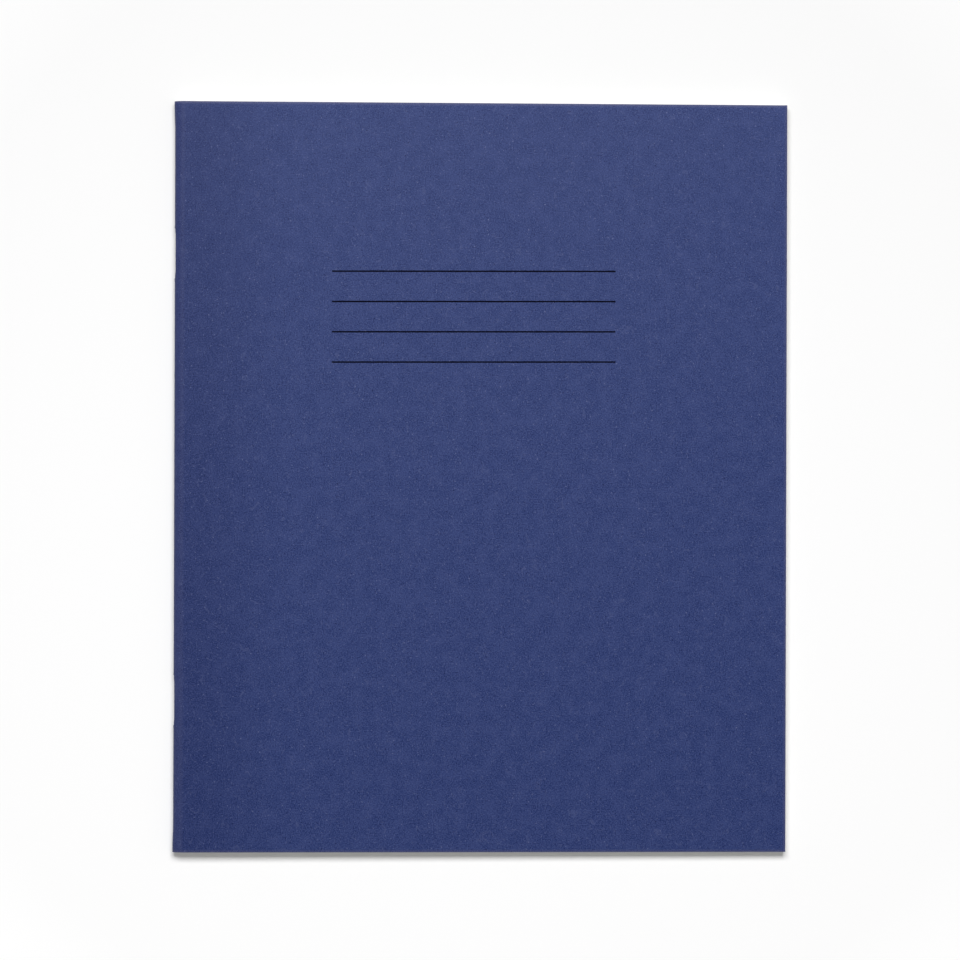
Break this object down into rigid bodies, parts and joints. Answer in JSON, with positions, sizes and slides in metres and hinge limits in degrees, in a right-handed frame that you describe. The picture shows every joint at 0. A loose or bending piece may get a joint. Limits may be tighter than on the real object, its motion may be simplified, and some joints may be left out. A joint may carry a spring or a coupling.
{
  "type": "stapled exercise book",
  "caption": "Thin stapled exercise book with a folded card cover, nested ruled paper sheets and wire staples; it opens flat at the fold.",
  "frame": {"origin": "middle of the underside of the closed book", "axes": "+X from the spine to the fore edge, +Y from the tail to the head, +Z out of the front cover"},
  "size_m": [0.1658, 0.203, 0.0038],
  "materials": {
    "cover_card": "matt dyed card",
    "leaf_paper": "uncoated writing paper, feint ruled",
    "staple_wire": "bright galvanised wire"
  },
  "bodies": {
    "back_cover": {"back_cover": "cover_card"},
    "spine": {"cover_spine": "cover_card", "sheet_fold_01": "leaf_paper", "sheet_fold_02": "leaf_paper", "sheet_fold_03": "leaf_paper", "sheet_fold_04": "leaf_paper", "sheet_fold_05": "leaf_paper", "sheet_fold_06": "leaf_paper", "sheet_fold_07": "leaf_paper", "sheet_fold_08": "leaf_paper", "sheet_fold_09": "leaf_paper", "sheet_fold_10": "leaf_paper", "sheet_fold_11": "leaf_paper", "sheet_fold_12": "leaf_paper", "head_staple": "staple_wire", "tail_staple": "staple_wire"},
    "front_cover": {"front_cover": "cover_card"},
    "leaf_01": {"leaf_01": "leaf_paper"},
    "leaf_02": {"leaf_02": "leaf_paper"},
    "leaf_03": {"leaf_03": "leaf_paper"},
    "leaf_04": {"leaf_04": "leaf_paper"},
    "leaf_05": {"leaf_05": "leaf_paper"},
    "leaf_06": {"leaf_06": "leaf_paper"},
    "leaf_07": {"leaf_07": "leaf_paper"},
    "leaf_08": {"leaf_08": "leaf_paper"},
    "leaf_09": {"leaf_09": "leaf_paper"},
    "leaf_10": {"leaf_10": "leaf_paper"},
    "leaf_11": {"leaf_11": "leaf_paper"},
    "leaf_12": {"leaf_12": "leaf_paper"},
    "leaf_13": {"leaf_13": "leaf_paper"},
    "leaf_14": {"leaf_14": "leaf_paper"},
    "leaf_15": {"leaf_15": "leaf_paper"},
    "leaf_16": {"leaf_16": "leaf_paper"},
    "leaf_17": {"leaf_17": "leaf_paper"},
    "leaf_18": {"leaf_18": "leaf_paper"},
    "leaf_19": {"leaf_19": "leaf_paper"},
    "leaf_20": {"leaf_20": "leaf_paper"},
    "leaf_21": {"leaf_21": "leaf_paper"},
    "leaf_22": {"leaf_22": "leaf_paper"},
    "leaf_23": {"leaf_23": "leaf_paper"},
    "leaf_24": {"leaf_24": "leaf_paper"}
  },
  "joints": [
    {"name": "spine_hinge", "type": "hinge", "parent": "back_cover", "child": "spine", "pos_m": [-0.08067, 0, 0.0019], "axis": [0, -1, 0], "range_deg": [0, 90], "deforming": ["cover_spine", "sheet_fold_01", "sheet_fold_02", "sheet_fold_03", "sheet_fold_04", "sheet_fold_05", "sheet_fold_06", "sheet_fold_07", "sheet_fold_08", "sheet_fold_09", "sheet_fold_10", "sheet_fold_11", "sheet_fold_12"]},
    {"name": "front_cover_hinge", "type": "hinge", "parent": "spine", "child": "front_cover", "pos_m": [-0.08067, 0, 0.0019], "axis": [0, -1, 0], "range_deg": [0, 90]},
    {"name": "leaf_01_hinge", "type": "hinge", "parent": "spine", "child": "leaf_01", "pos_m": [-0.08067, 0, 0.0019], "axis": [0, -1, 0], "range_deg": [0, 89]},
    {"name": "leaf_02_hinge", "type": "hinge", "parent": "spine", "child": "leaf_02", "pos_m": [-0.08067, 0, 0.0019], "axis": [0, -1, 0], "range_deg": [0, 88]},
    {"name": "leaf_03_hinge", "type": "hinge", "parent": "spine", "child": "leaf_03", "pos_m": [-0.08067, 0, 0.0019], "axis": [0, -1, 0], "range_deg": [0, 87]},
    {"name": "leaf_04_hinge", "type": "hinge", "parent": "spine", "child": "leaf_04", "pos_m": [-0.08067, 0, 0.0019], "axis": [0, -1, 0], "range_deg": [0, 86]},
    {"name": "leaf_05_hinge", "type": "hinge", "parent": "spine", "child": "leaf_05", "pos_m": [-0.08067, 0, 0.0019], "axis": [0, -1, 0], "range_deg": [0, 85]},
    {"name": "leaf_06_hinge", "type": "hinge", "parent": "spine", "child": "leaf_06", "pos_m": [-0.08067, 0, 0.0019], "axis": [0, -1, 0], "range_deg": [0, 84]},
    {"name": "leaf_07_hinge", "type": "hinge", "parent": "spine", "child": "leaf_07", "pos_m": [-0.08067, 0, 0.0019], "axis": [0, -1, 0], "range_deg": [0, 83]},
    {"name": "leaf_08_hinge", "type": "hinge", "parent": "spine", "child": "leaf_08", "pos_m": [-0.08067, 0, 0.0019], "axis": [0, -1, 0], "range_deg": [0, 82]},
    {"name": "leaf_09_hinge", "type": "hinge", "parent": "spine", "child": "leaf_09", "pos_m": [-0.08067, 0, 0.0019], "axis": [0, -1, 0], "range_deg": [0, 81]},
    {"name": "leaf_10_hinge", "type": "hinge", "parent": "spine", "child": "leaf_10", "pos_m": [-0.08067, 0, 0.0019], "axis": [0, -1, 0], "range_deg": [0, 80]},
    {"name": "leaf_11_hinge", "type": "hinge", "parent": "spine", "child": "leaf_11", "pos_m": [-0.08067, 0, 0.0019], "axis": [0, -1, 0], "range_deg": [0, 79]},
    {"name": "leaf_12_hinge", "type": "hinge", "parent": "spine", "child": "leaf_12", "pos_m": [-0.08067, 0, 0.0019], "axis": [0, -1, 0], "range_deg": [0, 78]},
    {"name": "leaf_13_hinge", "type": "hinge", "parent": "spine", "child": "leaf_13", "pos_m": [-0.08067, 0, 0.0019], "axis": [0, -1, 0], "range_deg": [-78, 0]},
    {"name": "leaf_14_hinge", "type": "hinge", "parent": "spine", "child": "leaf_14", "pos_m": [-0.08067, 0, 0.0019], "axis": [0, -1, 0], "range_deg": [-79, 0]},
    {"name": "leaf_15_hinge", "type": "hinge", "parent": "spine", "child": "leaf_15", "pos_m": [-0.08067, 0, 0.0019], "axis": [0, -1, 0], "range_deg": [-80, 0]},
    {"name": "leaf_16_hinge", "type": "hinge", "parent": "spine", "child": "leaf_16", "pos_m": [-0.08067, 0, 0.0019], "axis": [0, -1, 0], "range_deg": [-81, 0]},
    {"name": "leaf_17_hinge", "type": "hinge", "parent": "spine", "child": "leaf_17", "pos_m": [-0.08067, 0, 0.0019], "axis": [0, -1, 0], "range_deg": [-82, 0]},
    {"name": "leaf_18_hinge", "type": "hinge", "parent": "spine", "child": "leaf_18", "pos_m": [-0.08067, 0, 0.0019], "axis": [0, -1, 0], "range_deg": [-83, 0]},
    {"name": "leaf_19_hinge", "type": "hinge", "parent": "spine", "child": "leaf_19", "pos_m": [-0.08067, 0, 0.0019], "axis": [0, -1, 0], "range_deg": [-84, 0]},
    {"name": "leaf_20_hinge", "type": "hinge", "parent": "spine", "child": "leaf_20", "pos_m": [-0.08067, 0, 0.0019], "axis": [0, -1, 0], "range_deg": [-85, 0]},
    {"name": "leaf_21_hinge", "type": "hinge", "parent": "spine", "child": "leaf_21", "pos_m": [-0.08067, 0, 0.0019], "axis": [0, -1, 0], "range_deg": [-86, 0]},
    {"name": "leaf_22_hinge", "type": "hinge", "parent": "spine", "child": "leaf_22", "pos_m": [-0.08067, 0, 0.0019], "axis": [0, -1, 0], "range_deg": [-87, 0]},
    {"name": "leaf_23_hinge", "type": "hinge", "parent": "spine", "child": "leaf_23", "pos_m": [-0.08067, 0, 0.0019], "axis": [0, -1, 0], "range_deg": [-88, 0]},
    {"name": "leaf_24_hinge", "type": "hinge", "parent": "spine", "child": "leaf_24", "pos_m": [-0.08067, 0, 0.0019], "axis": [0, -1, 0], "range_deg": [-89, 0]}
  ],
  "couplings": [
    {"joint": "front_cover_hinge", "follows": "spine_hinge", "ratio": 1},
    {"joint": "leaf_01_hinge", "follows": "spine_hinge", "ratio": 0.98889},
    {"joint": "leaf_02_hinge", "follows": "spine_hinge", "ratio": 0.97778},
    {"joint": "leaf_03_hinge", "follows": "spine_hinge", "ratio": 0.96667},
    {"joint": "leaf_04_hinge", "follows": "spine_hinge", "ratio": 0.95556},
    {"joint": "leaf_05_hinge", "follows": "spine_hinge", "ratio": 0.94444},
    {"joint": "leaf_06_hinge", "follows": "spine_hinge", "ratio": 0.93333},
    {"joint": "leaf_07_hinge", "follows": "spine_hinge", "ratio": 0.92222},
    {"joint": "leaf_08_hinge", "follows": "spine_hinge", "ratio": 0.91111},
    {"joint": "leaf_09_hinge", "follows": "spine_hinge", "ratio": 0.9},
    {"joint": "leaf_10_hinge", "follows": "spine_hinge", "ratio": 0.88889},
    {"joint": "leaf_11_hinge", "follows": "spine_hinge", "ratio": 0.87778},
    {"joint": "leaf_12_hinge", "follows": "spine_hinge", "ratio": 0.86667},
    {"joint": "leaf_13_hinge", "follows": "spine_hinge", "ratio": -0.86667},
    {"joint": "leaf_14_hinge", "follows": "spine_hinge", "ratio": -0.87778},
    {"joint": "leaf_15_hinge", "follows": "spine_hinge", "ratio": -0.88889},
    {"joint": "leaf_16_hinge", "follows": "spine_hinge", "ratio": -0.9},
    {"joint": "leaf_17_hinge", "follows": "spine_hinge", "ratio": -0.91111},
    {"joint": "leaf_18_hinge", "follows": "spine_hinge", "ratio": -0.92222},
    {"joint": "leaf_19_hinge", "follows": "spine_hinge", "ratio": -0.93333},
    {"joint": "leaf_20_hinge", "follows": "spine_hinge", "ratio": -0.94444},
    {"joint": "leaf_21_hinge", "follows": "spine_hinge", "ratio": -0.95556},
    {"joint": "leaf_22_hinge", "follows": "spine_hinge", "ratio": -0.96667},
    {"joint": "leaf_23_hinge", "follows": "spine_hinge", "ratio": -0.97778},
    {"joint": "leaf_24_hinge", "follows": "spine_hinge", "ratio": -0.98889}
  ]
}
